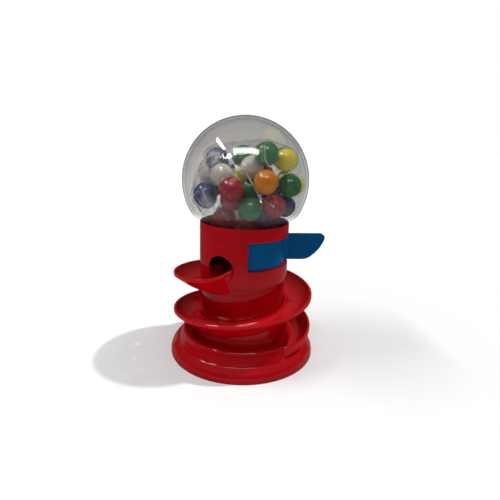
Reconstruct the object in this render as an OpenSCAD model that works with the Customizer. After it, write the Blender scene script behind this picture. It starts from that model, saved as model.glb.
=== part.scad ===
// Spiral gumball machine: a clear globe of gumballs on a turret with a swinging
// dispensing rotor, and a trough that winds twice round the tower down to a well in
// the base, where the gumball stops.
// Millimetres, +Z up, origin on the underside of the base at the tower's axis.
// Azimuths are degrees about +Z from +X. The front of the machine faces -Y.

/* [Base] */
// Diameter of the base where it meets the table
base_d = 84; // [82:0.5:92]
// Height of the lower step of the base
plinth_h = 8; // [7:0.25:9]
// Diameter of the shoulder on top of the lower step
shoulder_d = 77; // [75:0.5:79]
// Outer diameter of the shelf on top of the base
shelf_d = 70.4; // [69:0.2:73]
// Height of the shelf
shelf_h = 14; // [13.25:0.25:14.5]
// Height of the floor of the well at the trough's end
well_floor_h = 5; // [4.5:0.25:6]
// Width of the shelf's edge outside the well
well_wall = 1.4; // [1:0.1:2]
// Wall thickness of the base moulding
base_wall = 2; // [1.6:0.1:2.4]
// Thickness of the bottom cover
cover_t = 1.4; // [1:0.1:1.4]
// Azimuth where the shelf gives way to the spiral, at the back
well_az = 125; // [120:1:130]

/* [Tower] */
// Outer diameter of the core tube inside the spiral
core_d = 48; // [47:0.2:48.4]
// Outer diameter of the turret
turret_d = 50.4; // [50:0.1:51.4]
// Wall thickness of the turret
turret_wall = 1.6; // [1.2:0.1:1.8]
// Wall thickness of the core tube
core_wall = 2; // [1.6:0.1:2.4]
// Depth of the turret's cup below the lower seam
cup_depth = 11.5; // [10.5:0.25:11.5]
// Height of the lower seam, between cup and band
low_seam_h = 57; // [56.5:0.25:58]
// Height of the upper seam, between band and collar
high_seam_h = 70.4; // [70:0.2:72]
// Height of the collar above the upper seam
collar_h = 7.2; // [6.6:0.1:7.8]

/* [Spiral] */
// Outer diameter of the trough
spiral_d = 80.6; // [80:0.2:82]
// Fall of the trough in one turn
spiral_pitch = 21.4; // [21:0.1:21.8]
// Azimuth where the trough begins, at the right of the outlet
spiral_start_az = -101; // [-103:1:-99]
// Angle that the trough travels
spiral_travel = 669; // [660:1:675]
// Height of the lip where the trough begins, before its upturned corner
rim_start_h = 52.55; // [52.2:0.05:53]
// Extra height of the upturned corner at the start of the lip
corner_lift = 4.1; // [3:0.1:4.3]
// Extra height of the lip on the last half turn
lip_lift = 2.4; // [1.5:0.1:3]
// Depth of the trough below its lip
trough_depth = 8; // [7.5:0.1:8.5]
// Thickness of the lip
lip_t = 1.4; // [1:0.1:1.8]
// Height of the lip's outer face
lip_face = 1.9; // [1.4:0.1:2.4]
// Drop from the lip to the foot of the trough's underside
foot_drop = 12.8; // [12.4:0.1:13.2]
// Diameter of the foot of the trough's underside
foot_d = 54; // [53.4:0.2:55]
// Angle over which the scoop opens to full width
open_angle = 90; // [80:1:110]
// Angle over which the trough's end rounds in to the shelf
end_angle = 30; // [24:1:40]
// Travel at which the turret wall above the trough ends
wall_end = 205; // [200:1:215]

/* [Outlet] */
// Azimuth of the outlet
outlet_az = -119; // [-121:1:-118]
// Diameter of the outlet
outlet_d = 15.6; // [15:0.2:16]
// Height of the outlet's centre at the turret wall
outlet_h = 54.5; // [54.3:0.1:54.8]
// Slope of the exit chute in degrees
chute_slope = 8; // [6:0.5:9]
// Thickness of the chute floor plate
floor_t = 2; // [1.6:0.1:2.4]

/* [Window] */
// Azimuth of the window's left end
window_from = -84; // [-86:1:-82]
// Azimuth of the window's right end
window_to = 20; // [18:1:26]
// Drop of the window's sill below the lower seam
sill_drop = 2.3; // [2:0.1:2.4]

/* [Rotor] */
// Swing of the lever in degrees
lever_swing = 72; // [68:1:72]
// Radius of the circle on which the pocket travels
pocket_ring_r = 15.2; // [15:0.1:15.4]
// Diameter of the pocket
pocket_d = 14; // [13.6:0.1:14.2]
// Wall thickness of the rotor
rotor_wall = 1.5; // [1.2:0.1:1.6]
// Diameter of the pivot post
post_d = 8; // [7:0.5:8]
// Running clearance on the pivot post
post_clearance = 0.08; // [0.04:0.01:0.1]
// Outer diameter of the rotor's hub
hub_d = 12.4; // [11.6:0.2:12.8]

/* [Lever] */
// Azimuth of the lever at rest
lever_az = 6; // [4:1:8]
// Reach of the lever from the tower's axis
lever_reach = 47; // [44:0.5:50]
// Radius of the lever's belly
lever_belly_r = 22; // [20:0.5:25]
// Radius of the lever's heel, under the belly
lever_heel_r = 7.4; // [6:0.1:8]
// Radius of the lever's upper corner
lever_corner_r = 2.5; // [1.5:0.1:3]
// Thickness of the lever
lever_t = 2.6; // [2:0.1:3]
// Radius of the lever's root fillets
lever_fillet = 3.5; // [2:0.25:4]

/* [Globe and gumballs] */
// Outer diameter of the globe
globe_d = 70; // [70:0.5:73]
// Radius of the globe's shoulder over the collar, as a share of the globe's radius
shoulder_share = 0.23; // [0.18:0.01:0.25]
// Height of the globe's underside above the collar's rim
globe_gap = 1.3; // [0.8:0.1:2]
// Wall thickness of the globe
globe_wall = 1.5; // [1.2:0.1:1.5]
// Diameter of one gumball
ball_d = 12.4; // [11.6:0.1:12.4]
// Thickness of the bag's film, with its folds
film_t = 0.3; // [0.2:0.05:0.3]
// Height of the bag's closed bottom above the seat of the globe
bag_base = 1.4; // [1.2:0.1:2]
// Height of the bag from bottom to top
bag_h = 50; // [46:1:52]

/* [Fasteners] */
// Diameter of a screw's shank
screw_d = 2.6; // [2:0.1:2.8]
// Diameter of a screw's head
screw_head_d = 5.2; // [4.6:0.1:5.4]
// Height of a screw's head
screw_head_h = 1.3; // [1:0.1:1.3]

/* [Hidden] */
$fn = 96;

// Clearances
seat = 0.05;        // flat or fixed faces of pieces that stay together
slip = 0.1;         // pieces pushed into each other by hand
run = 0.3;          // moving faces that pass each other

// Radii
base_r = base_d / 2;
shoulder_r = shoulder_d / 2;
shelf_r = shelf_d / 2;
groove_r = shelf_r - well_wall;
core_r = core_d / 2;
turret_r = turret_d / 2;
bore_r = turret_r - turret_wall;
ledge_r = bore_r - 1.2;
spiral_r = spiral_d / 2;
foot_r = foot_d / 2;
outlet_r = outlet_d / 2;
rotor_r = bore_r - run;
pocket_r = pocket_d / 2;
boss_r = pocket_ring_r - pocket_r - slip;
post_r = post_d / 2;
hub_r = hub_d / 2;
globe_r = globe_d / 2;
ball_r = ball_d / 2;
screw_r = screw_d / 2;
screw_head_r = screw_head_d / 2;
screw_boss_r = screw_r + 1.5;
screw_ring_r = core_r - core_wall - screw_boss_r + 0.7;
globe_shoulder_r = globe_r * shoulder_share;

// Heights
cup_h = low_seam_h - cup_depth;
sill_h = low_seam_h - sill_drop;
floor_h = outlet_h;
boss_h = floor_h + 3.8;
rotor_low = floor_h + run;
rotor_high = high_seam_h - run;
collar_top = high_seam_h + collar_h;
seat_h = high_seam_h + 1.4;
neck_r = bore_r - 0.2;
globe_floor = collar_top + globe_gap;
globe_h = globe_floor + globe_shoulder_r + sqrt(pow(globe_r - globe_shoulder_r, 2) - pow(neck_r + 0.2, 2));
bag_low = seat_h + bag_base;
feed_az = outlet_az - lever_swing;
big = 200;

// ---------------------------------------------------------------- helpers

function mix(a, b, t) = a + (b - a) * t;
function unit(x) = min(max(x, 0), 1);
function ease(x) = let (t = unit(x)) t * t * (3 - 2 * t);
function azimuth(travel) = spiral_start_az - travel;
function arc(cx, cy, r, from, to, steps) =
    [for (i = [0:steps]) let (a = mix(from, to, i / steps)) [cx + r * cos(a), cy + r * sin(a)]];

// A solid ring between two radii
module ring(r_in, r_out, low, high) {
    translate([0, 0, low]) difference() {
        cylinder(r = r_out, h = high - low);
        translate([0, 0, -1]) cylinder(r = r_in, h = high - low + 2);
    }
}

// A vertical wedge of azimuths, for cutting windows and gaps
module sector(from, to, low, high) {
    span = to - from;
    reach = 2 * base_r;
    steps = ceil(span / 40);
    edge = [for (i = [0:steps]) let (a = from + span * i / steps) [reach * cos(a), reach * sin(a)]];
    translate([0, 0, low]) linear_extrude(high - low) polygon(concat([[0, 0]], edge));
}

// The sloping bore that a gumball rolls out through, starting beside the hub
module chute_bore(r) {
    start = pocket_ring_r - pocket_r;
    rotate([0, 0, outlet_az]) translate([turret_r, 0, outlet_h]) rotate([0, 90 + chute_slope, 0])
        translate([0, 0, start - turret_r]) cylinder(r = r, h = big / 4);
}

// ------------------------------------------------------------------- base

module base_plinth() {
    color("crimson") difference() {
        rotate_extrude() polygon(concat(
            [[0, well_floor_h - base_wall], [0, well_floor_h]],
            [[foot_r + slip, well_floor_h], [foot_r + slip, shelf_h]],
            arc(shelf_r - 1.1, shelf_h - 1.1, 1.1, 90, 0, 8),
            [[shelf_r + 0.5, shelf_h - 2.6], [shoulder_r - 1.7, plinth_h + 1.1]],
            [[shoulder_r - 1.2, plinth_h + 0.1], [shoulder_r - 0.7, plinth_h]],
            arc(shoulder_r - 0.5, plinth_h - 1.2, 1.2, 90, 35, 5),
            arc(base_r - 7.5, 1.2, 7.5, 32, 0, 8),
            [[base_r, 0], [base_r - base_wall, 0]],
            [[base_r - base_wall, cover_t + seat], [base_r - base_wall - 1.2, cover_t + seat]],
            [[base_r - base_wall - 1.2, well_floor_h - base_wall]]
        ));
        // the well, where the spiral's last half turn takes the place of the shelf
        rotate_extrude(start = azimuth(spiral_travel) + 720, angle = well_az - azimuth(spiral_travel) - 720)
            polygon([
                [groove_r - 0.02, well_floor_h], [groove_r - 0.02, plinth_h],
                [shoulder_r + 2, plinth_h], [shoulder_r + 2, shelf_h + 1],
                [foot_r, shelf_h + 1], [foot_r, well_floor_h]
            ]);
        for (a = [90, 210, 330]) rotate([0, 0, a]) translate([screw_ring_r, 0, 0])
            cylinder(r = screw_r + slip, h = big, $fn = 32);
    }
}

module base_cover() {
    color("crimson") cylinder(r = base_r - base_wall - slip, h = cover_t);
}

// One pan-head screw, head down, with the head's bearing face at z = 0
module screw(length) {
    translate([0, 0, -screw_head_h]) cylinder(r = screw_head_r, h = screw_head_h, $fn = 32);
    cylinder(r = screw_r, h = length - 1.5, $fn = 32);
    translate([0, 0, length - 1.5]) cylinder(r1 = screw_r, r2 = 0.4, h = 1.5, $fn = 32);
}

module base_screws() {
    color("silver") for (a = [90, 210, 330]) rotate([0, 0, a])
        translate([screw_ring_r, 0, well_floor_h - base_wall - seat]) screw(12);
}

// ------------------------------------------------------------------ tower

module tower_core() {
    inner = core_r - core_wall;
    ledge_h = floor_h - floor_t - seat;
    color("crimson") difference() {
        union() {
            rotate_extrude() polygon([
                [inner, well_floor_h + seat], [core_r, well_floor_h + seat], [core_r, cup_h], [turret_r, cup_h],
                [turret_r, low_seam_h], [bore_r, low_seam_h], [bore_r, ledge_h], [ledge_r, ledge_h],
                [ledge_r, cup_h + turret_wall], [inner, cup_h + turret_wall]
            ]);
            for (a = [90, 210, 330]) rotate([0, 0, a])
                translate([screw_ring_r, 0, well_floor_h + run]) cylinder(r = screw_boss_r, h = 14, $fn = 32);
        }
        for (a = [90, 210, 330]) rotate([0, 0, a])
            translate([screw_ring_r, 0, 0]) cylinder(r = screw_r + seat, h = 18, $fn = 32);
        sector(window_from, window_to, sill_h, big);
        chute_bore(outlet_r);
    }
}

module chute_floor() {
    shell_r = outlet_r + turret_wall;
    color("crimson") difference() {
        union() {
            translate([0, 0, floor_h - floor_t]) cylinder(r = bore_r - slip, h = floor_t);
            translate([0, 0, floor_h - floor_t - 4]) cylinder(r = boss_r, h = boss_h - floor_h + floor_t + 4);
            intersection() {
                chute_bore(shell_r);
                translate([0, 0, cup_h + turret_wall + seat])
                    cylinder(r = ledge_r - slip, h = floor_h - 0.5 - cup_h - turret_wall - seat);
            }
        }
        chute_bore(outlet_r);
        cylinder(r = post_r - 1 + seat, h = big, $fn = 48);
    }
}

module pivot_post() {
    foot = floor_h - floor_t - 4;
    color("crimson") difference() {
        union() {
            translate([0, 0, boss_h + seat]) cylinder(r = post_r, h = high_seam_h - boss_h - 2 * seat);
            translate([0, 0, foot]) cylinder(r = post_r - 1, h = boss_h - foot + 1, $fn = 48);
        }
        translate([0, 0, foot - 1]) cylinder(r = screw_r - 0.3 + seat, h = 11, $fn = 32);
        translate([0, 0, high_seam_h - 10]) cylinder(r = screw_r - 0.3 + seat, h = 11, $fn = 32);
    }
}

// One small pan-head screw on the axis, head down
module axis_screw(length) {
    translate([0, 0, -screw_head_h]) cylinder(r = screw_head_r, h = screw_head_h, $fn = 32);
    cylinder(r = screw_r - 0.3, h = length, $fn = 32);
}

module post_screw() {
    color("silver") translate([0, 0, floor_h - floor_t - 4 - seat]) axis_screw(9);
}

module hopper_screw() {
    color("silver") translate([0, 0, high_seam_h + 2.6 - screw_head_h + seat]) rotate([180, 0, 0]) axis_screw(9);
}

module turret_band() {
    color("crimson") difference() {
        ring(bore_r, turret_r, low_seam_h + seat, high_seam_h - seat);
        sector(window_from, window_to, 0, big);
        chute_bore(outlet_r);
    }
}

module hopper_collar() {
    floor_low = high_seam_h;
    color("crimson") difference() {
        rotate_extrude() polygon(concat(
            [[0, floor_low], [turret_r, floor_low]],
            arc(turret_r - 0.6, collar_top - 0.6, 0.6, 0, 90, 5),
            [[neck_r + 1.3, collar_top], [bore_r, collar_top - 1.05], [bore_r, seat_h - seat]],
            [[neck_r - globe_wall - 0.2, seat_h - seat], [neck_r - globe_wall - 0.5, seat_h + 0.5]],
            [[pocket_ring_r + 3, seat_h - 0.2], [pocket_ring_r - 3, seat_h - 0.2]],
            [[hub_r, high_seam_h + 2.6], [0, high_seam_h + 2.6]]
        ));
        rotate([0, 0, feed_az]) translate([pocket_ring_r, 0, 0]) cylinder(r = pocket_r - 0.2, h = big);
        cylinder(r = screw_r - 0.3 + slip, h = big, $fn = 32);
        translate([0, 0, high_seam_h + 2.6 - screw_head_h]) cylinder(r = screw_head_r + slip, h = big, $fn = 32);
    }
}

// ----------------------------------------------------------------- spiral

// Height of the plain helix, of the lip and of the channel's floor
function helix_z(s) = rim_start_h - spiral_pitch * s / 360;
function lip_z(s) = helix_z(s) + corner_lift * pow(1 - unit(s / 30), 2)
    + ease((s - 440) / 160) * mix(lip_lift, shelf_h - helix_z(spiral_travel), ease((s - spiral_travel + 44) / 44));
function channel_z(s) = mix(lip_z(s) - 0.3, max(helix_z(s) - trough_depth, well_floor_h + 0.7),
    min(1 - pow(1 - unit(s / 14), 2), sqrt(1.01 - pow(unit((s - spiral_travel + 16) / 16), 2))));

// Outer radius: the scoop opens out of the wall, and the end rounds in to the shelf
function lip_r(s) = s < spiral_travel - end_angle
    ? mix(turret_r + 0.6, spiral_r, 1 - pow(1 - unit(s / open_angle), 3))
    : mix(shelf_r, spiral_r, sqrt(1 - pow(unit((s - spiral_travel + end_angle) / end_angle), 2)));

// How far the turret wall has given way to the undercut, the trough's side to the
// base, and its end to the shelf
function undercut(s) = ease((s - wall_end) / 16);
function rooted(s) = ease((s - well_start) / 35);
function landing(s) = ease((s - spiral_travel + end_angle) / end_angle);

// Travel at which the trough passes from above the shelf into the well
well_start = spiral_start_az - well_az + 720;

// Inner wall of the channel in the well, which is the wall that hangs from the turn
// above, and the top of what carries that wall
function waist(s) = mix(core_r + 0.5, foot_r, ease((s - 500) / 60));
function inner_r(s) = mix(turret_r + 0.06, waist(s), undercut(s));
function inner_rise(s) = min(mix(1.2, 3, undercut(s)), lip_z(s) - channel_z(s) - 0.1);
function inner_top(s) = channel_z(s) + inner_rise(s) + 0.4;

// The scoop is a shallower bowl than the trough, and meets the turret wall above its edge
function scoop(s) = 1 - ease((s - 120) / 100);
function foot_radius(s) = mix(foot_r, turret_r + 0.05, scoop(s));
function foot_z(s) = max(helix_z(s) - foot_drop, s < well_start ? shelf_h + 0.3 : well_floor_h + seat);

// Underside of the trough at radius r, between the lip's outer face and the foot
function under_z(s, r, r_lip, r_foot) =
    let (u = unit((r_lip - r) / (r_lip - r_foot)))
    mix(lip_z(s) - lip_face - 0.5, foot_z(s) + 1.5 * scoop(s), u) - mix(0.5, 0.8, scoop(s)) * sin(180 * u);

// What stands under the foot at travel s, clockwise: the edge of the turret's wall, then
// the wall that hangs down to the trough's last turn, then the wall that stands in the
// base with a fillet on the shelf, and last the bed in the well
function below_foot(s) =
    let (
        r_core = core_r + 0.06,
        r_foot = foot_radius(s),
        z_foot = foot_z(s),
        bed = well_floor_h + seat,
        r_wall = min(waist(s + 360), r_foot - 0.02),
        z_wall = inner_top(s + 360) + 0.1,
        fillet = min(2.5, 0.8 * (z_foot - shelf_h - seat)),
        z_shelf = shelf_h + seat
    )
    s <= 120 ? [for (i = [0:8]) let (u = i / 8)
        [mix(r_foot - 0.02, r_core, u), z_foot - 0.1 * sin(180 * min(1, 2 * u)) + 1.6 * u * u]] :
    s <= spiral_travel - 360 ? concat(
        [for (i = [0:7]) [r_wall, mix(z_foot - 0.05, z_wall, i / 7)]],
        [[r_core, z_wall]]) :
    s < well_start ? concat(
        [for (i = [0:3]) let (a = 75 * i / 3)
            [foot_r + fillet * (1 - cos(a)), z_shelf + fillet * (1 - sin(a))]],
        [[foot_r + fillet, z_shelf + 0.02 * fillet], [foot_r + fillet, z_shelf]],
        [[foot_r - 0.01, z_shelf], [foot_r - 0.01, bed], [r_core, bed]]) :
    [for (i = [1:9]) [mix(r_foot, r_core, i / 9), bed + 0.03 * sin(20 * i)]];

// Section of the trough at travel s, clockwise in radius and height
function trough_section(s) =
    let (
        r_in = inner_r(s),
        r_lip = lip_r(s),
        width = r_lip - r_in,
        t = min(lip_t, 0.6 * width),
        z_lip = lip_z(s),
        z_low = channel_z(s),
        r_low = r_in + 0.3 * (width - t),
        rise = inner_rise(s),
        z_top = mix(cup_h - seat, inner_top(s), undercut(s)),
        r_face = r_lip - min(0.8, 0.3 * width),
        r_foot = foot_radius(s),
        r_rim = min(groove_r + 0.05, 0.55 * r_face + 0.45 * r_foot),
        root = rooted(s),
        land = landing(s),
        ledge = plinth_h + seat,
        bed = well_floor_h + seat,
        rest = s < well_start ? shelf_h + seat : bed
    )
    concat(
        [[core_r + 0.06, z_top], [r_in, z_top]],
        [for (a = [80:-20:20]) [r_low - (r_low - r_in) * sin(a) / sin(80), z_low + rise * (1 - cos(a)) / (1 - cos(80))]],
        [for (a = [0:9:63]) [mix(r_low, r_lip - t, sin(a) / sin(63)),
            mix(z_low, z_lip - 0.25, (1 - cos(a)) / (1 - cos(63)))]],
        [[r_lip - 0.75 * t, z_lip], [r_lip - 0.25 * t, z_lip], [r_lip, z_lip - 0.35], [r_lip, z_lip - lip_face]],
        [for (u = [0:3]) let (r = mix(r_face, r_rim, u / 3)) [
            mix(r, mix(r_lip + mix(-0.3, 0.3, land), shoulder_r - mix(0.3, 1.4, land), u / 3), root),
            mix(max(under_z(s, r, r_face, r_foot), rest), mix(z_lip - lip_face - 0.6, ledge, u / 3), root)
        ]],
        [[r_rim, mix(max(under_z(s, r_rim, r_face, r_foot), rest), ledge, root)]],
        [for (u = [0:3]) let (r = mix(r_rim - 0.1, r_foot, u / 3)) [
            r, mix(max(under_z(s, r, r_face, r_foot), rest), bed, root)
        ]],
        below_foot(s)
    );

// Section of the turret's skirt, whose lower edge runs on from the trough's foot. Its
// outer side has as many points as the trough's section needs beyond this one's own
skirt_start = -(cup_h - 0.8 - rim_start_h + foot_drop) / spiral_pitch * 360;
function skirt_section(s, extra) =
    let (z = helix_z(s) - foot_drop, top = cup_h - seat)
    concat(
        [[core_r + 0.06, top]],
        [for (i = [0:extra]) [turret_r, mix(top, z, i / extra)]],
        [[turret_r - 0.35, z - 0.1], [core_r + 0.45, min(z + 0.5, top - 0.2)]],
        [[core_r + 0.06, min(z + 1.6, top - 0.1)]]
    );

// A solid swept about the axis through sections of equal length
module sweep(travels, sections) {
    n = len(sections[0]);
    last = len(travels) - 1;
    points = [for (i = [0:last]) let (a = azimuth(travels[i]))
        for (p = sections[i]) [p[0] * cos(a), p[0] * sin(a), p[1]]];
    sides = [for (i = [0:last - 1]) for (j = [0:n - 1]) let (k = (j + 1) % n)
        for (f = [[i * n + j, i * n + k, i * n + n + k], [i * n + j, i * n + n + k, i * n + n + j]]) f];
    start_cap = [for (j = [n - 1:-1:0]) j];
    end_cap = [for (j = [0:n - 1]) last * n + j];
    polyhedron(points, concat(sides, [start_cap], [end_cap]));
}

module spiral_track() {
    extra = len(trough_section(0)) - 5;
    skirt_travels = [for (i = [0:14]) mix(skirt_start, -0.2, i / 14)];
    above = spiral_travel - 360;
    travels = concat(
        [for (s = [0:2:12]) s], [for (s = [16:4:28]) s], [for (s = [34:7:118]) s], [120, 120.2],
        [for (s = [127:7:above - 4]) s], [above, above + 0.4], [for (s = [above + 7:7:well_start - 4]) s],
        [well_start - 0.01]
    );
    color("crimson") sweep(
        concat(skirt_travels, travels),
        concat([for (s = skirt_travels) skirt_section(s, extra)], [for (s = travels) trough_section(s)])
    );
}

// The trough's last half turn, a piece of its own that lies in the base's well
module well_track() {
    travels = concat(
        [well_start + 0.2], [for (s = [well_start + 5:6:spiral_travel - end_angle - 3]) s],
        [for (a = [0:10:90]) spiral_travel - end_angle * (1 - sin(a))]
    );
    color("crimson") sweep(travels, [for (s = travels) trough_section(s)]);
}

// ------------------------------------------------------------------ rotor

// Outline of the pocket in plan, flaring out through the rotor's rim
module pocket_shape(r) {
    flare = 25;
    edge = [for (side = [-1, 1]) [[r * sin(flare) * -1, side * r * cos(flare)],
        [rotor_r, side * (r * cos(flare) + (rotor_r + r * sin(flare)) * tan(flare))]]];
    rotate([0, 0, outlet_az]) translate([pocket_ring_r, 0]) {
        circle(r = r);
        polygon([edge[0][0], edge[0][1], edge[1][1], edge[1][0]]);
    }
}

// Outline of the lever in radius and height: its heel, belly and corner are arcs that
// run into each other
function lever_outline() =
    let (
        low = sill_h + run,
        high = rotor_high,
        corner = lever_corner_r,
        corner_a = 21,
        belly_x = lever_reach - corner - (lever_belly_r - corner) * cos(corner_a),
        belly_z = high - corner + (lever_belly_r - corner) * sin(corner_a),
        heel_a = asin((belly_z - low - lever_heel_r) / (lever_belly_r - lever_heel_r)),
        heel_x = belly_x + (lever_belly_r - lever_heel_r) * cos(heel_a)
    )
    concat(
        [[rotor_r - rotor_wall, low]],
        arc(heel_x, low + lever_heel_r, lever_heel_r, -90, -heel_a, 6),
        arc(belly_x, belly_z, lever_belly_r, -heel_a, -corner_a, 8),
        arc(lever_reach - corner, high - corner, corner, -corner_a, 90, 8),
        [[rotor_r - rotor_wall, high]]
    );

module lever_root() {
    x = rotor_r - 0.4 + lever_fillet;
    y = lever_t / 2 + lever_fillet;
    linear_extrude(rotor_high - sill_h - run) difference() {
        translate([rotor_r - rotor_wall, -y]) square([x - rotor_r + rotor_wall, 2 * y]);
        for (side = [-1, 1]) translate([x, side * y]) circle(r = lever_fillet, $fn = 48);
        circle(r = rotor_r - rotor_wall);
    }
}

module dispensing_rotor() {
    height = rotor_high - rotor_low;
    inner_low = boss_h + run;
    inner_height = rotor_high - inner_low;
    color("royalblue") {
        difference() {
            union() {
                // drum: top plate, skirt, hub and ribs
                translate([0, 0, rotor_high - rotor_wall]) cylinder(r = rotor_r, h = rotor_wall);
                ring(rotor_r - rotor_wall, rotor_r, rotor_low, rotor_high);
                translate([0, 0, inner_low]) cylinder(r = hub_r, h = inner_height);
                for (a = [15, 75, 130]) rotate([0, 0, a])
                    translate([hub_r - 0.5, -rotor_wall / 2, inner_low + 1])
                        cube([rotor_r - rotor_wall / 2 - hub_r, rotor_wall, inner_height - 2]);
                // wall of the pocket, above the middle of the gumball that it pushes
                intersection() {
                    translate([0, 0, inner_low]) linear_extrude(inner_height) pocket_shape(pocket_r + rotor_wall);
                    translate([0, 0, rotor_low]) cylinder(r = rotor_r - rotor_wall / 2, h = height - rotor_wall / 2);
                }
            }
            translate([0, 0, rotor_low - 1]) linear_extrude(height + 2) pocket_shape(pocket_r);
            translate([0, 0, rotor_low - 1]) cylinder(r = post_r + post_clearance, h = height + 2);
        }
        rotate([0, 0, lever_az]) {
            rotate([90, 0, 0]) linear_extrude(lever_t, center = true) polygon(lever_outline());
            translate([0, 0, sill_h + run]) lever_root();
        }
    }
}

// --------------------------------------------------------- globe and candy

// A solid globe that turns in at its shoulder to a flat underside, with its neck
// below, all drawn in by an offset and cut level at the bottom of the neck
module globe_solid(inset, low) {
    shoulder_x = neck_r + 0.2;
    shoulder_z = globe_floor + globe_shoulder_r;
    tangent_z = globe_h - (globe_h - shoulder_z) * globe_r / (globe_r - globe_shoulder_r);
    intersection() {
        translate([0, 0, globe_h]) sphere(r = globe_r - inset, $fn = 128);
        translate([0, 0, tangent_z]) cylinder(r = big, h = big);
    }
    rotate_extrude($fn = 128) {
        intersection() {
            translate([shoulder_x, shoulder_z]) circle(r = globe_shoulder_r - inset, $fn = 64);
            translate([shoulder_x, 0]) square([globe_r, tangent_z + 0.5]);
        }
        translate([0, globe_floor + inset]) square([shoulder_x, tangent_z + 0.5 - globe_floor - inset]);
        translate([0, low]) square([neck_r - inset, tangent_z - low]);
    }
}

module globe_shell() {
    color("lightgray", 0.3) difference() {
        globe_solid(0, seat_h);
        globe_solid(globe_wall, seat_h - 1);
    }
}

module candy_bag() {
    inset = globe_wall + 0.35;
    color("white", 0.25) difference() {
        intersection() {
            globe_solid(inset, bag_low);
            cylinder(r = big, h = bag_low + bag_h);
        }
        intersection() {
            globe_solid(inset + film_t, bag_low + film_t);
            cylinder(r = big, h = bag_low + bag_h - film_t);
        }
    }
}

// The heap of gumballs, for a diameter of 12.4: x, y, z from the level of the globe's
// middle, colour, and the colour of the twin on the heap's far side, where it has one
heap_ball_d = 12.4;
heap_drop = 20;
heap_h = bag_low + film_t + 0.3 + ball_r + heap_drop * ball_d / heap_ball_d;
heap = [
    [10.5, -24.2, 1.8, "orange", "red"], [21, -10.4, 12.2, "yellow", "green"],
    [10.5, -18.6, 15.4, "green", "yellow"], [23.4, -12.2, -0.8, "green", "white"],
    [-6.7, -25.4, -2, "red", "orange"], [-12.3, -15.2, 3.8, "white", "blue"],
    [3.2, -11.7, 8, "white", "green"], [-6.7, -14.8, -8.6, "red", "yellow"],
    [3, -23, -12.2, "green", "white"], [15.3, -18.3, -11.2, "red", "blue"],
    [2.7, -7.9, -4, "green", "red"], [-20.7, -15, -6.2, "blue", "green"],
    [-11, -9, -19.8, "red", "white"], [9.5, -10, -20, "blue", "orange"],
    [-15.5, -5.4, 11.5, "blue", ""], [-1.5, -0.8, 13, "green", ""],
    [21.5, -5.5, -12.6, "blue", ""], [26, 0, -2, "yellow", ""],
    [0, 0, -20, "white", ""], [-22, 0, -10, "blue", ""],
    [-20, 2, 2.5, "white", ""], [-6, 0, 0.5, "yellow", ""], [13.2, 0, -1.5, "red", ""]
];

module gumball(x, y, z) {
    k = ball_d / heap_ball_d;
    translate([x * k, y * k, heap_h + z * k]) sphere(r = ball_r, $fn = 48);
}

module gumballs(name, tint) {
    color(tint) for (b = heap) {
        if (b[3] == name) gumball(b[0], b[1], b[2]);
        if (b[4] == name) gumball(b[0], -b[1], b[2]);
    }
}

module gumballs_red() { gumballs("red", "firebrick"); }
module gumballs_green() { gumballs("green", "forestgreen"); }
module gumballs_blue() { gumballs("blue", "midnightblue"); }
module gumballs_yellow() { gumballs("yellow", "gold"); }
module gumballs_orange() { gumballs("orange", "darkorange"); }
module gumballs_white() { gumballs("white", "whitesmoke"); }

// ------------------------------------------------------------------ parts

base_cover();
base_plinth();
base_screws();
tower_core();
spiral_track();
well_track();
chute_floor();
pivot_post();
post_screw();
turret_band();
hopper_collar();
hopper_screw();
dispensing_rotor();
globe_shell();
candy_bag();
gumballs_red();
gumballs_green();
gumballs_blue();
gumballs_yellow();
gumballs_orange();
gumballs_white();
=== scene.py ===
import math

import bpy
import numpy as np
from mathutils import Matrix, Vector, noise


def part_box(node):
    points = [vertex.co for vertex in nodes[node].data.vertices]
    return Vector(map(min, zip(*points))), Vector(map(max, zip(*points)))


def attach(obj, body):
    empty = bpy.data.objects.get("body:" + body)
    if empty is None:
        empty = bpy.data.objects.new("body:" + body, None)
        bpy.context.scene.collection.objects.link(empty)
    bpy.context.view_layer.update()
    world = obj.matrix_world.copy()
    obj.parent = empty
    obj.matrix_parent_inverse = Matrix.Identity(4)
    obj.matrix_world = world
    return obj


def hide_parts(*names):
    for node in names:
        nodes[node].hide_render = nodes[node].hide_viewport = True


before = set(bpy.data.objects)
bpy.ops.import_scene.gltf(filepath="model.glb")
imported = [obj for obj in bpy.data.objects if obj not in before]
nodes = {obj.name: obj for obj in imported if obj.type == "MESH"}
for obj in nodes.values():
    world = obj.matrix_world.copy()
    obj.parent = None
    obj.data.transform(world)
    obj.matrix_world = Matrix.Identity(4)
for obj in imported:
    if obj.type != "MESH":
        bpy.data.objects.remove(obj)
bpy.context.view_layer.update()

# ------------------------------------------------------------------ named sizes
#
# Millimetres, with heights above the table. A travel is the angle in degrees that the trough has
# run since its start, and an azimuth is degrees about +Z from +X.

turret_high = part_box("turret_band")[1]
seat = 0.05                # between faces of pieces that stay together
core_r = 24
cup_h = 45.5               # underside of the turret's cup
turret_r = turret_high.x * 1000
turret_wall = 1.6
high_seam_h = turret_high.z * 1000 + seat
collar_h = 7.2
spiral_r = 40.3
spiral_pitch = 21.4
spiral_start_az = -101
spiral_travel = 669
rim_start_h = 52.55        # lip where the trough begins, before its upturned corner
corner_lift = 4.1
lip_lift = 2.4             # extra height of the lip on the last half turn
trough_depth = 8
lip_t = 1.4
lip_face = 1.9
foot_drop = 12.8           # from the lip to the foot of the trough's underside
foot_r = 27
open_angle = 90            # over which the scoop opens out of the turret's wall
end_angle = 30             # over which the end rounds in to the shelf
wall_end = 205             # travel at which the turret's wall gives way to the undercut
well_az = 125
shelf_r = 35.2
shelf_h = 14
well_wall = 1.4
groove_r = shelf_r - well_wall
well_floor_h = 5
shoulder_r = 38.5
plinth_h = 8
globe_r = 35
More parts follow.
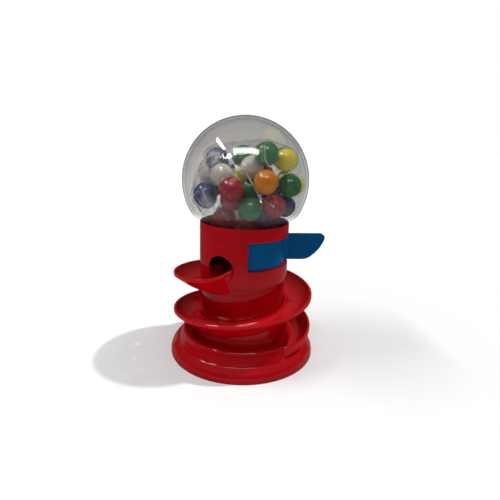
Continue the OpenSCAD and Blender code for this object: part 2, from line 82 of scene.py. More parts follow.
globe_wall = 1.5
globe_gap = 1.3
globe_shoulder_r = 0.23 * globe_r
globe_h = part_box("globe_shell")[1].z * 1000 - globe_r
globe_floor = high_seam_h + collar_h + globe_gap
neck_clearance = 0.2
neck_r = turret_r - turret_wall - neck_clearance
seat_rise = 1.4            # globe's seat above the upper seam
bag_base = 1.4             # bag's closed bottom above the globe's seat
bag_low = high_seam_h + seat_rise + bag_base
ball_r = 6.2


def mix(a, b, t):
    return a + (b - a) * t


def unit(x):
    return min(max(x, 0.0), 1.0)


def ease(x):
    t = unit(x)
    return t * t * (3 - 2 * t)


# ------------------------------------------------------------------ materials

def new_material(name):
    m = bpy.data.materials.new(name)
    m.use_nodes = True
    m.node_tree.nodes.clear()
    return m, m.node_tree


def add(nt, kind, inputs=None, **values):
    """A new node. inputs holds sockets or constants by index or name, and values are properties or
    constants by name."""
    n = nt.nodes.new("ShaderNode" + kind)
    for key, value in values.items():
        if hasattr(n, key):
            setattr(n, key, value)
        else:
            n.inputs[key.replace("_", " ")].default_value = value
    for key, value in (inputs or {}).items():
        if isinstance(value, bpy.types.NodeSocket):
            nt.links.new(value, n.inputs[key])
        else:
            n.inputs[key].default_value = value
    return n


def first(nt, kind, inputs=None, **values):
    """The first output of a new node."""
    return add(nt, kind, inputs, **values).outputs[0]


def ramp(nt, socket, stops):
    n = add(nt, "ValToRGB", {0: socket})
    while len(n.color_ramp.elements) < len(stops):
        n.color_ramp.elements.new(0.5)
    for e, (at, colour) in zip(n.color_ramp.elements, stops):
        e.position = at
        e.color = (*colour, 1)
    return n.outputs[0]


def scale_range(nt, socket, low, high, from_low=0.0, from_high=1.0):
    return first(nt, "MapRange", {0: socket, 1: from_low, 2: from_high, 3: low, 4: high})


def blend_value(nt, factor, low, high):
    """A value between two others, each of them a number or a socket."""
    return first(nt, "Mix", {"Factor": factor, 2: low, 3: high}, data_type="FLOAT")


def blend_colour(nt, factor, low, high):
    """A colour between two others, each of them four numbers or a socket."""
    return add(nt, "Mix", {"Factor": factor, 6: low, 7: high}, data_type="RGBA").outputs[2]


def blend_shader(nt, factor, low, high):
    return first(nt, "MixShader", {0: factor, 1: low, 2: high})


def maths(nt, operation, a, b):
    return first(nt, "Math", {0: a, 1: b}, operation=operation)


def on_object(nt):
    """The point on the object, in metres."""
    return add(nt, "TexCoord").outputs["Object"]


def moulded(name, colour, deep, specular=0.5, edge=0.00025):
    """Injection-moulded plastic: faint flow marks in the colour, a skin whose gloss varies, and
    edges that look rounded by the radius edge, in metres."""
    rough = 0.08
    m, nt = new_material(name)
    where = on_object(nt)
    flow = first(nt, "TexNoise", {"Vector": where}, Scale=45.0, Detail=3.0, Roughness=0.55)
    skin = first(nt, "TexNoise", {"Vector": where}, Scale=160.0, Detail=4.0, Roughness=0.6)
    grain = first(nt, "TexNoise", {"Vector": where}, Scale=2200.0, Detail=2.0)
    under = {"Height": skin}
    if edge:
        under["Normal"] = first(nt, "Bevel", samples=6, Radius=edge)
    swell = first(nt, "Bump", under, Strength=0.006, Distance=0.002)
    bump = first(nt, "Bump", {"Height": grain, "Normal": swell}, Strength=0.03, Distance=0.00005)
    body = first(nt, "BsdfPrincipled", {
        "Base Color": ramp(nt, flow, [(0.3, deep), (0.7, colour)]),
        "Roughness": scale_range(nt, skin, rough * 0.8, rough * 1.3, 0.3, 0.7),
        "Normal": bump,
    }, Specular_IOR_Level=specular, Subsurface_Weight=0.05, Subsurface_Radius=(1.0, 0.25, 0.2),
        Subsurface_Scale=0.0012)
    add(nt, "OutputMaterial", {0: body})
    return m


def candy(name, colour, deep, pale):
    """A gumball's sugar shell: mottled colour, pale specks, tiny dimples and a waxy polish."""
    m, nt = new_material(name)
    where = on_object(nt)
    cloud = first(nt, "TexNoise", {"Vector": where}, Scale=170.0, Detail=5.0, Roughness=0.65)
    speck = first(nt, "TexNoise", {"Vector": where}, Scale=1100.0, Detail=2.0, Roughness=0.5)
    dent = first(nt, "TexNoise", {"Vector": where}, Scale=420.0, Detail=3.0, Roughness=0.6)
    mottled = ramp(nt, cloud, [(0.32, deep), (0.52, colour), (0.74, pale)])
    flecks = ramp(nt, speck, [(0.6, (0, 0, 0)), (0.72, (0.35, 0.35, 0.35))])
    body = first(nt, "BsdfPrincipled", {
        "Base Color": blend_colour(nt, flecks, mottled, (*pale, 1)),
        "Roughness": scale_range(nt, cloud, 0.16, 0.34, 0.3, 0.7),
        "Normal": first(nt, "Bump", {"Height": dent}, Strength=0.12, Distance=0.0004),
    }, Specular_IOR_Level=0.5, Coat_Weight=0.8, Coat_Roughness=0.05, Coat_IOR=1.8,
        Subsurface_Weight=0.12, Subsurface_Radius=(1.0, 0.7, 0.5), Subsurface_Scale=0.001)
    add(nt, "OutputMaterial", {0: body})
    return m


def steel(name):
    m, nt = new_material(name)
    grain = first(nt, "TexNoise", {"Vector": on_object(nt)}, Scale=1500.0, Detail=3.0)
    body = first(nt, "BsdfPrincipled", {
        "Base Color": ramp(nt, grain, [(0.3, (0.45, 0.45, 0.46)), (0.7, (0.6, 0.6, 0.61))]),
        "Roughness": scale_range(nt, grain, 0.25, 0.45),
        "Normal": first(nt, "Bump", {"Height": grain}, Strength=0.1, Distance=0.00005),
    }, Metallic=1.0)
    add(nt, "OutputMaterial", {0: body})
    return m


def lamp_ray(nt):
    """1 on the rays that carry lamp and sky light through a clear piece, so that it doesn't darken
    what it holds."""
    path = add(nt, "LightPath").outputs
    return maths(nt, "MAXIMUM", path["Is Shadow Ray"], path["Is Diffuse Ray"])


def clear_wall(name):
    """The globe's clear plastic, tinted grey and more darkly towards the crown, with a darker rim
    where its outer face is seen edge on. It holds back lamp light that comes in from outside beside
    the neck, so that the globe has a shadow on the table and none on the turret."""
    m, nt = new_material(name)
    where = on_object(nt)
    height = add(nt, "SeparateXYZ", {0: where}).outputs[2]
    from_centre = add(nt, "VectorMath", {0: where, 1: (0, 0, globe_h / 1000)}, operation="DISTANCE")
    mid_wall = (globe_r - globe_wall / 2) / 1000
    outer = maths(nt, "GREATER_THAN", from_centre.outputs["Value"], mid_wall)

    # the cast grows between these heights in metres
    crown = scale_range(nt, height, 0.0, 1.0, 0.094, 0.122)
    face = ramp(nt, crown, [(0.0, (0.89, 0.885, 0.875)), (1.0, (0.83, 0.83, 0.82))])
    rim = ramp(nt, crown, [(0.0, (0.60, 0.60, 0.595)), (1.0, (0.46, 0.46, 0.46))])
    facing = add(nt, "LayerWeight", Blend=0.25).outputs["Facing"]
    edge_on = scale_range(nt, facing, 0.0, 1.0, 0.36, 0.62)
    tint = blend_colour(nt, maths(nt, "MULTIPLY", edge_on, outer), face, rim)
    # the neck and the globe's underside have none of it
    above_neck = scale_range(nt, height, 0.0, 1.0, 0.079, 0.083)
    cast = blend_colour(nt, above_neck, (0.98, 0.98, 0.98, 1), tint)
    clear = first(nt, "BsdfTransparent", {0: cast})

    ripple = first(nt, "TexNoise", {"Vector": where}, Scale=38.0, Detail=2.0)
    bump = first(nt, "Bump", {"Height": ripple}, Strength=0.03, Distance=0.002)
    gloss = first(nt, "BsdfGlossy", {"Normal": bump}, Roughness=0.025, Color=(1, 1, 1, 1))
    fresnel = first(nt, "Fresnel", {"Normal": bump}, IOR=1.62)
    mirrored = maths(nt, "MINIMUM", fresnel, 0.13)

    from_axis = first(nt, "VectorMath", {0: where, 1: (1, 1, 0)}, operation="MULTIPLY")
    radius = add(nt, "VectorMath", {0: from_axis}, operation="LENGTH").outputs["Value"]
    beside = scale_range(nt, radius, 0.0, 1.0, neck_r / 1000, (neck_r + 2) / 1000)
    back = add(nt, "NewGeometry").outputs["Backfacing"]
    entering_beside = maths(nt, "MULTIPLY", maths(nt, "SUBTRACT", outer, back), beside)
    pass_on = first(nt, "BsdfTransparent", {0: scale_range(nt, entering_beside, 0.98, 0.06)})
    body = blend_shader(nt, mirrored, clear, gloss)
    add(nt, "OutputMaterial", {0: blend_shader(nt, lamp_ray(nt), body, pass_on)})
    return m


def clear_film(name):
    """Crinkled clear film: glints on its creases, a milky bloom where its attribute says so,
    otherwise clear. Along the listed creases the same attribute paints it white, a painted
    highlight."""
    m, nt = new_material(name)
    milk_and_glint = add(nt, "Attribute", attribute_name="milk_and_glint").outputs["Fac"]
    where = on_object(nt)
    crinkle = first(nt, "TexNoise", {"Vector": where}, Scale=120.0, Detail=3.0, Distortion=1.2)
    bump = first(nt, "Bump", {"Height": crinkle}, Strength=0.35, Distance=0.0012)
    clear = first(nt, "BsdfTransparent", Color=(0.95, 0.955, 0.96, 1))
    gloss = first(nt, "BsdfGlossy", {"Normal": bump}, Roughness=0.07, Color=(1, 1, 1, 1))
    fresnel = first(nt, "Fresnel", {"Normal": bump}, IOR=1.45)
    mirrored = maths(nt, "MINIMUM", fresnel, 0.10)
    facing = add(nt, "LayerWeight", Blend=0.5).outputs["Facing"]
    fade = scale_range(nt, facing, 1.0, 0.1, 0.6, 0.92)
    sheen = blend_shader(nt, maths(nt, "MULTIPLY", mirrored, fade), clear, gloss)
    front_lit = first(nt, "BsdfDiffuse", Color=(0.85, 0.87, 0.9, 1))
    back_lit = first(nt, "BsdfTranslucent", Color=(0.85, 0.87, 0.9, 1))
    milk = blend_shader(nt, 0.5, front_lit, back_lit)
    body = blend_shader(nt, scale_range(nt, milk_and_glint, 0.01, 0.8), sheen, milk)
    pass_on = first(nt, "BsdfTransparent", Color=(0.97, 0.97, 0.97, 1))
    add(nt, "OutputMaterial", {0: blend_shader(nt, lamp_ray(nt), body, pass_on)})
    return m


red = moulded("red_plastic", (0.42, 0.001, 0.005), (0.37, 0.0008, 0.004))
# Lighter copy of the red for the sweep: painted light lifting its shaded channels
red_sweep_lightened = moulded("red_plastic_sweep_lightened", (0.52, 0.001, 0.005), (0.47, 0.0008, 0.004), edge=0)
blue = moulded("blue_plastic", (0.0006, 0.084, 0.24), (0.0005, 0.072, 0.205), specular=0.28)
metal = steel("screw_steel")
wall = clear_wall("clear_plastic")
film = clear_film("clear_film")
sweets = {
    "red": candy("candy_red", (0.38, 0.008, 0.030), (0.28, 0.006, 0.022), (0.46, 0.04, 0.07)),
    "green": candy("candy_green", (0.013, 0.21, 0.065), (0.007, 0.15, 0.045), (0.04, 0.30, 0.12)),
    "blue": candy("candy_blue", (0.016, 0.030, 0.16), (0.008, 0.016, 0.10), (0.07, 0.10, 0.30)),
    "yellow": candy("candy_yellow", (0.97, 0.83, 0.03), (0.88, 0.71, 0.02), (0.98, 0.90, 0.14)),
    "orange": candy("candy_orange", (0.80, 0.235, 0.001), (0.68, 0.17, 0.001), (0.88, 0.32, 0.01)),
    "white": candy("candy_white", (0.70, 0.67, 0.57), (0.58, 0.55, 0.46), (0.82, 0.80, 0.71)),
}


# ------------------------------------------------------------------ finishes and new pieces

def finish_with(o, material):
    o.data.materials.clear()
    o.data.materials.append(material)


for name, o in nodes.items():
    if name.startswith("gumballs_"):
        finish_with(o, sweets[name.split("_")[1]])
    elif name in ("base_screws", "post_screw", "hopper_screw"):
        finish_with(o, metal)
    elif name == "dispensing_rotor":
        finish_with(o, blue)
    elif name == "globe_shell":
        finish_with(o, wall)
    elif name == "candy_bag":
        finish_with(o, film)
    else:
        finish_with(o, red)


def mesh_object(name, points, faces, material):
    mesh = bpy.data.meshes.new(name)
    mesh.from_pydata([tuple(p) for p in points], [], faces)
    mesh.update()
    o = bpy.data.objects.new(name, mesh)
    bpy.context.scene.collection.objects.link(o)
    finish_with(o, material)
    return o


def smooth(o, angle):
    for p in o.data.polygons:
        p.use_smooth = True
    o.data.set_sharp_from_angle(angle=math.radians(angle))


# ------------------------------------------------------------------ the spiral, as one smooth sweep
#
# Its section is swept along the falling helix, and s is the travel. The shape changes over these
# spans of travel.

corner_span = 30                        # the scoop's upturned corner
start_span, end_span = 14, 16           # the channel deepens, and rises again at its end
scoop_end, scoop_span = 120, 100        # from the scoop's shallow bowl to the trough
undercut_span = 16
lift_start, lift_span = 440, 160
settle_span = 44                        # the lip comes down to the shelf
waist_start, waist_span = 500, 60
root_span = 35
hair = 0.005                            # between the sweep and the flat face that it lies on
well_start = spiral_start_az - well_az + 720
lip_round = 0.45                        # height of the lip's rounded top
channel_bend, inner_bend = 63, 80       # angles of the arcs of the channel's floor and inner side


def azimuth(s):
    return spiral_start_az - s


def helix_z(s):
    return rim_start_h - spiral_pitch * s / 360


def lip_z(s):
    settle = ease((s - spiral_travel + settle_span) / settle_span)
    return (helix_z(s) + corner_lift * (1 - unit(s / corner_span)) ** 2
            + ease((s - lift_start) / lift_span)
            * mix(lip_lift, shelf_h - helix_z(spiral_travel), settle))


def channel_z(s):
    near_end = unit((s - spiral_travel + end_span) / end_span)
    return mix(lip_z(s) - 0.3, max(helix_z(s) - trough_depth, well_floor_h + 0.7),
               min(1 - (1 - unit(s / start_span)) ** 2, math.sqrt(1.01 - near_end ** 2)))


def lip_r(s):
    if s < spiral_travel - end_angle:
        return mix(turret_r + 0.1, spiral_r, 1 - (1 - unit(s / open_angle)) ** 3)
    into_end = unit((s - spiral_travel + end_angle) / end_angle)
    return mix(shelf_r, spiral_r, math.sqrt(1 - into_end ** 2))


def undercut(s):
    return ease((s - wall_end) / undercut_span)


def rooted(s):
    return ease((s - well_start) / root_span)


def landing(s):
    return ease((s - spiral_travel + end_angle) / end_angle)


def scoop(s):
    return 1 - ease((s - scoop_end) / scoop_span)


def waist(s):
    """Radius of the channel's inner side, which in the well is the wall under the turn above."""
    return mix(core_r + 0.5, foot_r, ease((s - waist_start) / waist_span))


def inner_rise(s):
    return min(mix(1.2, 3, undercut(s)), lip_z(s) - channel_z(s) - 0.1)


def inner_top(s):
    return channel_z(s) + inner_rise(s) + 0.4


def foot_radius(s):
    return mix(foot_r, turret_r + 0.05, scoop(s))


def foot_z(s):
    return max(helix_z(s) - foot_drop, shelf_h + 0.3 if s < well_start else well_floor_h + seat)


def under_z(s, r, r_lip, r_foot):
    """Height of the underside at radius r, between the lip's outer face and the foot."""
    u = unit((r_lip - r) / (r_lip - r_foot))
    return (mix(lip_z(s) - lip_face - 0.5, foot_z(s) + 1.5 * scoop(s), u)
            - mix(0.5, 0.8, scoop(s)) * math.sin(math.pi * u))


def below_foot(s):
    """What stands under the foot: at first the edge of the turret's wall, then the wall down to the
    turn below, then its fillet on the shelf, and last the bed in the well."""
    r_foot, z_foot, bed = foot_radius(s), foot_z(s), well_floor_h + seat
    if s <= scoop_end:
        return [(mix(r_foot - 0.02, core_r, i / 11),
                 z_foot - 0.1 * math.sin(math.pi * min(1, 2 * i / 11)) + 1.6 * (i / 11) ** 2)
                for i in range(12)]
    if s <= spiral_travel - 360:
        r_wall, z_wall = min(waist(s + 360), r_foot - 0.02), inner_top(s + 360) + 0.02
        down = [(r_wall, mix(z_foot - 0.05, z_wall, i / 10)) for i in range(11)]
        return down + [(core_r, z_wall)]
    if s < well_start:
        z_shelf = shelf_h + hair
        fillet = min(2.5, 0.8 * (z_foot - z_shelf))
        arc = [(foot_r + fillet * (1 - math.cos(math.radians(11 * i))),
                z_shelf + fillet * (1 - math.sin(math.radians(11 * i)))) for i in range(9)]
        return arc + [(foot_r + fillet, z_shelf), (foot_r, bed), (core_r, bed)]
    return [(mix(r_foot, core_r, i / 12), bed) for i in range(1, 13)]


def trough_section(s):
    """Radius and height of the section's points, from the top of the wall over the channel and the
    lip to the foot."""
    r_in = mix(turret_r + 0.004, waist(s), undercut(s))
    r_lip = lip_r(s)
    width = r_lip - r_in
    t = min(lip_t, 0.6 * width)
    z_lip = lip_z(s)
    z_low = channel_z(s)
    r_low = r_in + 0.3 * (width - t)
    rise = inner_rise(s)
    z_top = mix(cup_h, inner_top(s), undercut(s))
    r_face = r_lip - min(0.8, 0.3 * width)
    r_foot = foot_radius(s)
    r_rim = min(groove_r + 0.05, 0.55 * r_face + 0.45 * r_foot)
    root = rooted(s)
    land = landing(s)
    ledge = plinth_h + hair
    bed = well_floor_h + seat
    rest = shelf_h + hair if s < well_start else bed
    bend, side = math.radians(channel_bend), math.radians(inner_bend)

    pts = [(core_r, z_top), (r_in, z_top)]
    for i in range(9):
        a = math.radians(inner_bend - 70 * i / 8)
        pts.append((r_low - (r_low - r_in) * math.sin(a) / math.sin(side),
                    z_low + rise * (1 - math.cos(a)) / (1 - math.cos(side))))
    for i in range(19):
        a = bend * i / 18
        pts.append((mix(r_low, r_lip - t, math.sin(a) / math.sin(bend)),
                    mix(z_low, z_lip - lip_round, (1 - math.cos(a)) / (1 - math.cos(bend)))))
    for i in range(1, 12):
        a = math.pi * (1 - i / 12)
        pts.append((r_lip - t / 2 + t / 2 * math.cos(a),
                    z_lip - lip_round + lip_round * math.sin(a)))
    face = lip_face - lip_round
    pts += [(r_lip, z_lip - lip_round - face * k) for k in (0.05, 0.4, 0.75, 0.93)]
    for i in range(13):
        u = i / 12
        r = mix(r_face, r_rim, u)
        on_base_r = mix(r_lip + mix(-0.3, 0.3, land), shoulder_r - mix(0.3, 1.4, land), u)
        on_base_z = mix(z_lip - lip_face - 0.6, ledge, u)
        pts.append((mix(r, on_base_r, root),
                    mix(max(under_z(s, r, r_face, r_foot), rest), on_base_z, root)))
    pts.append((r_rim, mix(max(under_z(s, r_rim, r_face, r_foot), rest), ledge, root)))
    for i in range(9):
        r = mix(r_rim - 0.1, r_foot, i / 8)
        pts.append((r, mix(max(under_z(s, r, r_face, r_foot), rest), bed, root)))
    return pts + below_foot(s)


def skirt_section(s, count):
    """Section of the turret's skirt before the trough begins, with count points."""
    z = helix_z(s) - foot_drop
    pts = [(core_r, cup_h)] + [(turret_r, mix(cup_h, z, i / (count - 5))) for i in range(count - 4)]
    return pts + [(turret_r - 0.35, z - 0.1), (core_r + 0.45, min(z + 0.5, cup_h - 0.2)),
                  (core_r, min(z + 1.6, cup_h - 0.1))]


def spiral_travels():
    """Travels of the trough's sections: close together in the corner and at the rounded end, and on
    both sides of each place where the section changes at once."""
    above = spiral_travel - 360
    marks = [scoop_end, scoop_end + 0.2, above, above + 0.4, well_start - 0.01, well_start + 0.2]
    along = [0.5 * i for i in range(61)] + [30 + 1.5 * i for i in range(1, 405)]
    along = [s for s in along
             if min(abs(s - m) for m in marks) > 0.45 and s < spiral_travel - end_angle - 1]
    along = sorted(along + marks)
    return along + [spiral_travel - end_angle * (1 - math.sin(math.radians(2.5 * i)))
                    for i in range(37)]


def spiral_mesh():
    count = len(trough_section(0))
    skirt_start = -(cup_h - 0.8 - rim_start_h + foot_drop) / spiral_pitch * 360
    skirt = [mix(skirt_start, -0.05, i / 90) for i in range(91)]
    trough = spiral_travels()
    rows = [skirt_section(s, count) for s in skirt] + [trough_section(s) for s in trough]
    points = []
    for s, row in zip(skirt + trough, rows):
        a = math.radians(azimuth(s))
        points += [(r * math.cos(a) * 0.001, r * math.sin(a) * 0.001, z * 0.001) for r, z in row]
    faces = []
    for i in range(len(rows) - 1):
        for j in range(1, count - 1):
            a, b = i * count + j, i * count + j + 1
            faces.append((a, b, b + count, a + count))
    last = (len(rows) - 1) * count
    faces.append(tuple(range(last + count - 1, last - 1, -1)))
    start = len(skirt) * count
    faces.append(tuple(range(start, start + count)))
    return points, faces


spiral = mesh_object("spiral", *spiral_mesh(), red_sweep_lightened)
smooth(spiral, 40)
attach(spiral, "tower")
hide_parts("spiral_track", "well_track")


# ------------------------------------------------------------------ film bag round the heap

def ball_centres():
    """The middles of the gumballs. A node holds the balls of one colour, none touching another."""
    off_surface, fewest_points, same_point = 0.3, 20, 0.01
    found = []
    for name, o in nodes.items():
        if not name.startswith("gumballs_"):
            continue
        co = np.empty(len(o.data.vertices) * 3, np.float32)
        o.data.vertices.foreach_get("co", co)
        co = co.reshape(-1, 3) * 1000
        left = np.ones(len(co), bool)
        while left.any():
            # the lowest point that is left is the foot of a ball, or else a stray point
            low = co[left][co[left][:, 2].argmin()]
            centre = low + (0, 0, ball_r)
            near = left & (np.abs(np.linalg.norm(co - centre, axis=1) - ball_r) < off_surface)
            if near.sum() < fewest_points:
                left &= ~(np.linalg.norm(co - low, axis=1) < same_point)
                continue
            found.append((co[near].min(0) + co[near].max(0)) / 2)
            left &= ~near
    return np.array(found)


def room(directions, origin):
    """Distance from the origin to the inside of the globe, less the film's clearance, in each
    direction. It is found by halving."""
    film_clearance, farthest, halvings = 0.4, 40.0, 28
    inset = globe_wall + film_clearance
    shoulder_x, shoulder_z = neck_r + neck_clearance, globe_floor + globe_shoulder_r
    tangent_z = globe_h - (globe_h - shoulder_z) * globe_r / (globe_r - globe_shoulder_r)
    far = np.full(len(directions), farthest)
    near = np.zeros(len(directions))
    for _ in range(halvings):
        mid = (far + near) / 2
        p = origin + directions * mid[:, None]
        rho = np.hypot(p[:, 0], p[:, 1])
        z = p[:, 2]
        ball = rho ** 2 + (z - globe_h) ** 2 < (globe_r - inset) ** 2
        over_neck = rho < shoulder_x
        from_shoulder = np.hypot(rho - shoulder_x, z - shoulder_z)
        shoulder = over_neck | (from_shoulder < globe_shoulder_r - inset)
        floor = z > globe_floor + inset
        above_floor = over_neck | (z > shoulder_z - globe_shoulder_r)
        neck = (rho < neck_r - inset) & (z > bag_low)
        inside = np.where(z < tangent_z, (shoulder & floor & above_floor) | neck, ball)
        near = np.where(inside, mid, near)
        far = np.where(inside, far, mid)
    return near


# Creases that catch the light on the side towards the front, raised, and painted white as a
# painted highlight: how strong, then the azimuth and elevation in degrees, from the globe's
# middle, of each of its corners
creases = [
    (1.0, (-93, 20), (-85, 6), (-77, -8), (-61, -18)),
    (0.8, (-70, 37), (-71, 24), (-68, 18)),
    (0.35, (-74, 36), (-74, 22)),
    (0.9, (-68, 18), (-59, 15)),
    (0.6, (-59, 14), (-47, 16), (-36, 14), (-35, 9)),
    (0.5, (-46, 12), (-40, 16), (-37, 10)),
    (0.5, (-40, 24), (-33, 18)),
    (0.3, (-45, -8), (-42, -26)),
    (0.9, (-111, 27), (-107, 20)),
    (0.6, (-104, 30), (-101, 14)),
    (0.5, (-118, 24), (-108, 30)),
    (0.6, (-140, 20), (-127, 25), (-113, 18)),
    (0.5, (-150, 28), (-133, 31), (-120, 23)),
    (0.5, (-138, 10), (-126, 18)),
    (0.5, (-128, 31), (-119, 13)),
    (0.5, (-134, 24), (-122, 14)),
    (0.6, (-151, -4), (-138, -13), (-133, -21)),
    (0.5, (-145, -12), (-135, -6), (-122, -16), (-112, -30)),
    (0.5, (-150, -20), (-130, -28), (-108, -36)),
    (0.5, (-171, 4), (-167, -6), (-158, -15)),
    (0.4, (-160, 12), (-150, 2), (-142, -2)),
    (0.6, (-135, -16), (-127, -22), (-131, -12)),
]
crease_width = 0.012       # as a share of the distance from the globe's middle

# Where the film is crumpled and cloudy: how much, and the direction from the bag's middle
cloudy = [(1.0, (-0.62, -0.52, 0.59)), (0.5, (-0.59, -0.78, -0.20)), (0.45, (-0.87, -0.48, 0.09))]
cloud_r, cloud_edge = 0.24, 0.16        # for directions of length 1


def aimed(azimuth_deg, elevation_deg):
    a, e = math.radians(azimuth_deg), math.radians(elevation_deg)
    return Vector((math.cos(e) * math.cos(a), math.cos(e) * math.sin(a), math.sin(e)))


def crease_lines(points):
    """How near each point lies to a crease: 1 on its line, 0 beside it, times its strength."""
    d = points - (0, 0, globe_h)
    d /= np.linalg.norm(d, axis=1)[:, None]
    found = np.zeros(len(d))
    for strength, *corners in creases:
        ends = [aimed(*corner) for corner in corners]
        for a, b in zip(ends, ends[1:]):
            along = np.array(b - a)
            t = np.clip((d - np.array(a)) @ along / (along @ along), 0, 1)
            away = np.linalg.norm(d - np.array(a) - t[:, None] * along, axis=1)
            found = np.maximum(found, strength * np.clip(1.25 - away / crease_width, 0, 1))
    return found


def fine_ball(subdivisions):
    """Corners and faces of a ball of radius 1 with even triangles."""
    bpy.ops.mesh.primitive_ico_sphere_add(subdivisions=subdivisions, radius=1)
    ball = bpy.context.object
    corners = np.array([v.co[:] for v in ball.data.vertices])
    faces = [tuple(p.vertices) for p in ball.data.polygons]
    bpy.data.objects.remove(ball)
    return corners, faces


def taut_hull(directions, origin):
    """Distance from the origin to a film drawn taut round the gumballs, in each direction."""
    normals = fine_ball(5)[0]
    clearance = 0.35
    support = (normals @ (ball_centres() - origin).T).max(1) + ball_r + clearance
    hull = np.empty(len(directions))
    at_once, least_facing = 4096, 0.2
    for k in range(0, len(directions), at_once):
        facing = directions[k:k + at_once] @ normals.T
        reach = np.where(facing > least_facing, support / np.maximum(facing, least_facing), 1e9)
        hull[k:k + at_once] = reach.min(1)
    return hull


def in_noise(d, scale, place):
    """The point of the noise that a direction reads. Each pattern has its own place in it."""
    return Vector(d * scale + place)


def loose_film(d):
    """How far the film stands off the taut hull in one direction, and how milky it is there. It is
    made of flat facets, each with its own tilt, and it is looser and more folded on the left."""
    p = in_noise(d, 3.1, (4.0, 1.0, 7.0))
    near, where = noise.voronoi(p)
    tilt = (p - where[0]).dot(noise.noise_vector(where[0] * 5.3))
    swell = noise.noise(in_noise(d, 1.7, (9.0, 2.0, 3.0)))
    fine = noise.noise(in_noise(d, 8.0, (2.0, 7.0, 1.0)))
    left = ease((-d[0] - 0.1) / 0.6)
    slack = 0.9 + 1.6 * left
    ridge_width = 0.03
    ridge = max(0.0, 1 - (near[1] - near[0]) / ridge_width)
    crumple = max(amount * ease((cloud_r - (Vector(d) - Vector(place)).length) / cloud_edge)
                  for amount, place in cloudy)
    milky = (0.10 * left * unit(0.5 + 1.5 * swell) * ease(d[2] + 0.5)
             + crumple * (0.25 + 0.7 * unit(0.5 + 1.6 * fine)))
    return slack * (1.6 * tilt + 0.6 * swell + 0.5), ridge * (0.06 + 0.4 * left) + milky


def film_bag():
    """The bag starts as the taut hull, stands off it in loose facets, and stays in the globe."""
    below_centre, crease_height = 4, 0.5
    directions, faces = fine_ball(8)
    origin = np.array([0.0, 0.0, globe_h - below_centre])
    hull = taut_hull(directions, origin)
    limit = room(directions, origin)
    loose = np.array([loose_film(d) for d in directions])
    r = np.minimum(np.maximum(np.minimum(hull, limit) + loose[:, 0], hull), limit)
    lines = crease_lines(origin + directions * r[:, None])
    # the crease lines also paint the film milky white: a painted highlight
    milk_and_glint = np.maximum(loose[:, 1], lines)
    r = np.minimum(r + crease_height * lines, limit)
    bag = mesh_object("film_bag", (origin + directions * r[:, None]) * 0.001, faces, film)
    attribute = bag.data.attributes.new("milk_and_glint", "FLOAT", "POINT")
    attribute.data.foreach_set("value", np.clip(milk_and_glint, 0, 1).astype(np.float32))
    smooth(bag, 50)
    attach(bag, "globe")
    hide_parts("candy_bag")


film_bag()

# ------------------------------------------------------------------ camera

pitch, roll = 0.2332, 0.0292            # radians: down towards the table, and to the side
look = Vector((0, math.cos(pitch), -math.sin(pitch)))
level_up = Vector((0, math.sin(pitch), math.cos(pitch)))
level_right = Vector((1, 0, 0))
right = math.cos(roll) * level_right + math.sin(roll) * level_up
up = -math.sin(roll) * level_right + math.cos(roll) * level_up
turn = Matrix((right, up, -look)).transposed().to_4x4()
turn.translation = Vector((0.0035, -0.223, 0.1215))
camera = bpy.data.objects.new("camera", bpy.data.cameras.new("camera"))
bpy.context.scene.collection.objects.link(camera)
camera.matrix_world = turn
camera.data.sensor_width = 36
camera.data.lens = 28.8
camera.data.shift_x = -0.0007
camera.data.shift_y = -0.0281
camera.data.clip_start = 0.01
bpy.context.scene.camera = camera

# ------------------------------------------------------------------ floor, sky and lamps

def background_rays(nt):
    """1 on the rays that show the surroundings to the camera, straight or through clear pieces,
    and 1 on those that show them mirrored."""
    path = add(nt, "LightPath").outputs
    seen = maths(nt, "MAXIMUM", path["Is Camera Ray"], path["Is Transmission Ray"])
    return seen, path["Is Glossy Ray"]


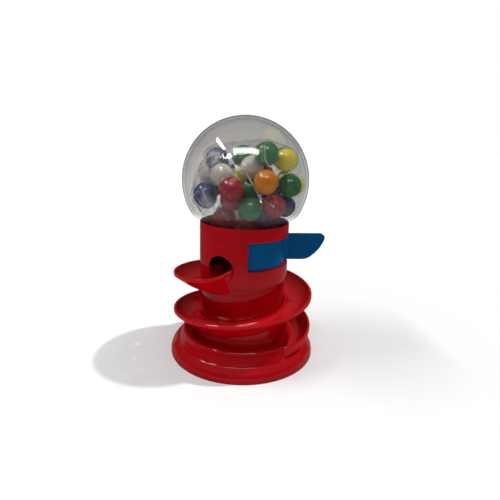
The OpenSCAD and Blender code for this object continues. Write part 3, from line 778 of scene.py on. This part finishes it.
def floor_material():
    """Matt and pale, and dim in reflections, most of all away from the machine. What is seen of it
    glows more and more away from the machine, until it is as white as the sky."""
    m, nt = new_material("floor")
    seen, mirrored = background_rays(nt)
    away = add(nt, "VectorMath", {0: on_object(nt)}, operation="LENGTH").outputs["Value"]
    in_gloss = scale_range(nt, away, 0.2, 0.05, 0.15, 0.22)
    pale = blend_value(nt, seen, blend_value(nt, mirrored, 0.7, in_gloss), 0.82)
    matt = first(nt, "BsdfDiffuse", {0: first(nt, "CombineColor", {0: pale, 1: pale, 2: pale})})
    far = scale_range(nt, away, 0.0, 0.35, 0.14, 0.6)
    glow = first(nt, "Emission", {"Strength": blend_value(nt, seen, 0.0, far)})
    add(nt, "OutputMaterial", {0: first(nt, "AddShader", {0: matt, 1: glow})})
    return m


def lay_floor(half=6):
    corners = [(-half, -half, 0), (half, -half, 0), (half, half, 0), (-half, half, 0)]
    mesh_object("floor", corners, [(0, 1, 2, 3)], floor_material())


def hang_sky():
    """White where it is seen. As a light and in reflections it is brightest overhead."""
    world = bpy.data.worlds.new("sky")
    bpy.context.scene.world = world
    world.use_nodes = True
    nt = world.node_tree
    nt.nodes.clear()
    seen, mirrored = background_rays(nt)
    overhead = add(nt, "SeparateXYZ", {0: add(nt, "TexCoord").outputs["Generated"]}).outputs[2]
    light = scale_range(nt, overhead, 0.13, 0.62)
    in_gloss = scale_range(nt, overhead, 0.03, 0.24, 0.1, 1.0)
    strength = blend_value(nt, seen, blend_value(nt, mirrored, light, in_gloss), 1.0)
    sky = first(nt, "Background", {"Strength": strength}, Color=(1, 1, 1, 1))
    add(nt, "OutputWorld", {0: sky})


def lamp(name, kind, place, target, energy, **settings):
    data = bpy.data.lights.new(name, kind)
    data.energy = energy
    for key, value in settings.items():
        setattr(data, key, value)
    o = bpy.data.objects.new(name, data)
    o.location = place
    o.rotation_euler = (Vector(target) - Vector(place)).to_track_quat("-Z", "Y").to_euler()
    bpy.context.scene.collection.objects.link(o)
    return o


lay_floor()
hang_sky()

# The sun casts the shadow and the soft lamp fills it. The window and the side strip are what the
# globe and the plastic mirror.
machine = (0, 0, 0.1)
sun = lamp("sun", "SUN", (0.228, 0.055, 0.5), (0, 0, 0), 1.65, angle=math.radians(2))
sun.visible_glossy = False
soft = lamp("soft", "AREA", (0.0, -0.44, 0.79), machine, 0.70,
            shape="RECTANGLE", size=0.5, size_y=0.3)
soft.visible_glossy = False
window = lamp("window", "AREA", (0.0, -0.40, 0.72), machine, 1.9,
              shape="RECTANGLE", size=0.52, size_y=0.125)
window.visible_diffuse = False
lamp("side_strip", "AREA", (-0.43, -0.05, 0.70), machine, 2.3,
     shape="RECTANGLE", size=0.34, size_y=0.034)

bpy.context.scene.view_settings.view_transform = "Standard"
